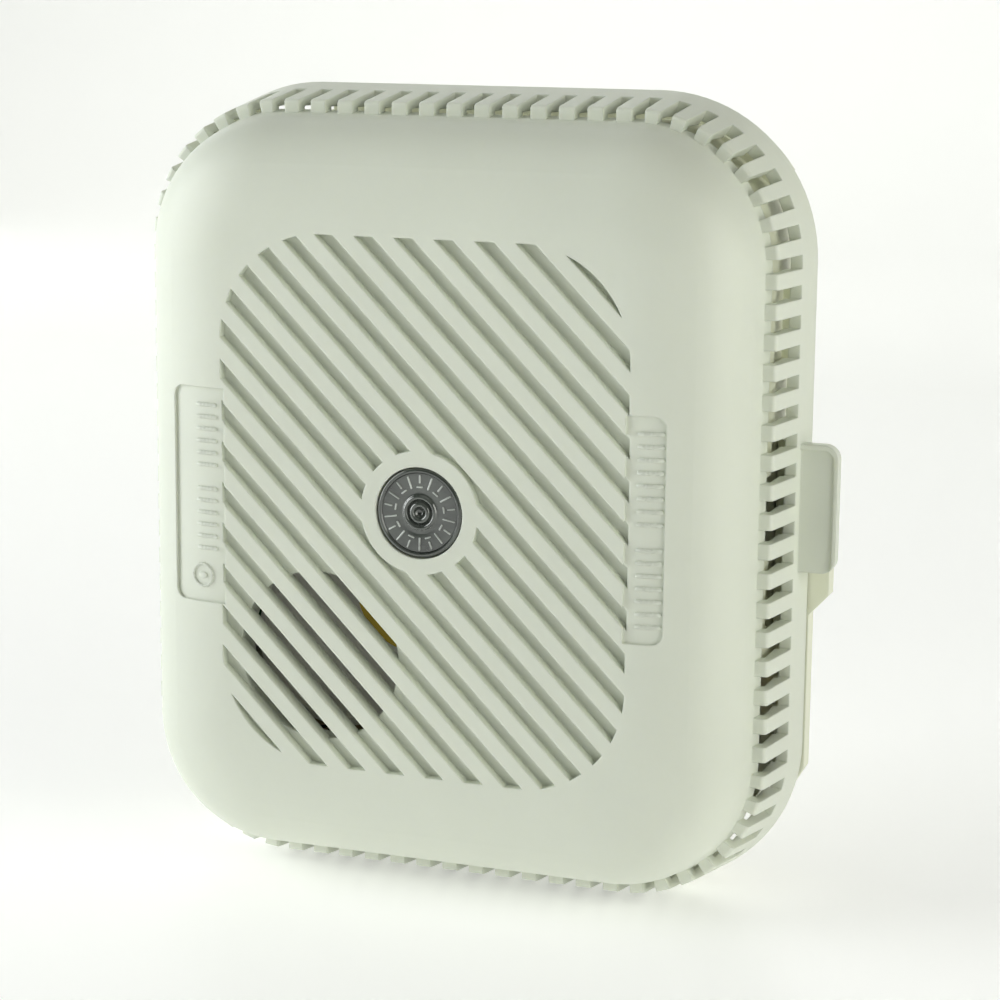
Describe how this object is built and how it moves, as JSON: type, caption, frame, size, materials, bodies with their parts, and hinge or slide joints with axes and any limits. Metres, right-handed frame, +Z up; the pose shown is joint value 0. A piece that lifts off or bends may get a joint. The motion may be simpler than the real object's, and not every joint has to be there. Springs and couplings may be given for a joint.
{
  "type": "smoke detector",
  "caption": "Wall-mounted battery smoke detector: vented domed cover hinged on a base, grooved sounder panel, round test button, side tab, smoke chamber, board and sliding mounting plate.",
  "frame": {"origin": "centre of the mounting plate's wall face, midway between the two wall screw slots", "axes": "+X to the right seen from the front, +Y into the wall, +Z up; the front panel faces -Y"},
  "size_m": [0.107, 0.04, 0.12],
  "materials": {
    "cover_plastic": "fine moulded texture",
    "button_smoked": "smoked clear, polished",
    "spring_steel": "drawn wire",
    "base_plastic": "satin",
    "pin_steel": "smooth",
    "board_laminate": "solder resist",
    "screw_steel": "plated",
    "chamber_black": "matt",
    "screen_steel": "woven mesh",
    "epoxy_blue": "clear tinted",
    "component_black": "matt",
    "capacitor_sleeve": "shrink sleeve",
    "ceramic_orange": "dipped",
    "resistor_tan": "lacquered",
    "led_red": "tinted, clear",
    "horn_grey": "satin",
    "disc_brass": "brushed",
    "piezo_white": "silvered ceramic",
    "contact_steel": "plated",
    "battery_wrap": "plain printed sleeve, no lettering",
    "snap_black": "vinyl",
    "wire_red": "insulated",
    "wire_black": "insulated",
    "clip_red": "satin"
  },
  "bodies": {
    "mounting_plate": {"mounting_plate": "base_plastic"},
    "base": {"hinge_pins": "pin_steel", "base_housing": "base_plastic", "circuit_board": "board_laminate", "board_screws": "screw_steel", "chamber_base": "chamber_black", "chamber_cap": "chamber_black", "insect_screen": "screen_steel", "infrared_emitter": "epoxy_blue", "photo_sensor": "component_black", "alarm_chip": "component_black", "electrolytic_capacitor": "capacitor_sleeve", "ceramic_capacitors": "ceramic_orange", "resistors": "resistor_tan", "status_led": "led_red", "test_switch": "component_black", "horn_housing": "horn_grey", "piezo_disc": "disc_brass", "piezo_ceramic": "piezo_white", "horn_contacts": "contact_steel", "battery_case": "battery_wrap", "battery_terminals": "contact_steel", "battery_snap": "snap_black", "battery_lead_red": "wire_red", "battery_lead_black": "wire_black", "clip_pin": "pin_steel"},
    "cover": {"front_cover": "cover_plastic", "button_retainer": "cover_plastic", "button_spring": "spring_steel"},
    "button": {"test_button": "button_smoked"},
    "clip": {"battery_clip": "clip_red"}
  },
  "joints": [
    {"name": "base_slide", "type": "slide", "parent": "mounting_plate", "child": "base", "axis": [0, 0, 1], "range_m": [0, 0.008]},
    {"name": "cover_hinge", "type": "hinge", "parent": "base", "child": "cover", "pos_m": [-0.0488, -0.0097, 0], "axis": [0, 0, -1], "range_deg": [0, 100]},
    {"name": "button_press", "type": "slide", "parent": "cover", "child": "button", "axis": [0, 1, 0], "range_m": [0, 0.0015], "stiffness_N_per_m": 600, "springref_m": -0.0005, "deforming": ["button_spring"]},
    {"name": "clip_hinge", "type": "hinge", "parent": "base", "child": "clip", "pos_m": [0.024, -0.0254, -0.0014], "axis": [-1, 0, 0], "range_deg": [0, 110]}
  ]
}
